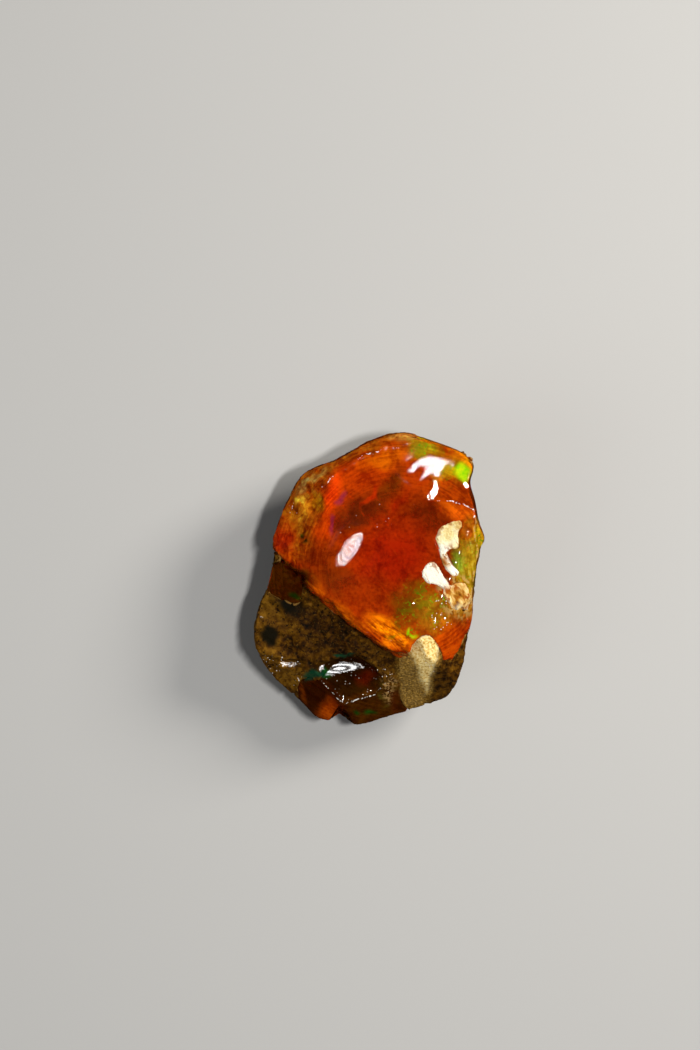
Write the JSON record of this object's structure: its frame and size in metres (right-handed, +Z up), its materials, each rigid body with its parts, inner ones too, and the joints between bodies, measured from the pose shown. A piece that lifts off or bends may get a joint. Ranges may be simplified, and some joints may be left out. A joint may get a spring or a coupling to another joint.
{
  "type": "rough opal",
  "caption": "Wet rough precious opal, red to orange and translucent, with a broken conchoidal face, held in brown host rock and lying on its flat broken back.",
  "frame": {"origin": "on the resting plane, under the middle of the stone's outline", "axes": "+Z up from the resting plane towards the broken opal face, +Y along the stone's length towards the opal's wide end, away from the exposed rock and the hollow, +X across it"},
  "size_m": [0.0342, 0.0439, 0.0187],
  "materials": {
    "opal": "translucent body, wet glossy surface",
    "host_rock": "rough, pitted, wet"
  },
  "bodies": {
    "root": {"opal": "opal", "host_rock": "host_rock"}
  },
  "joints": []
}
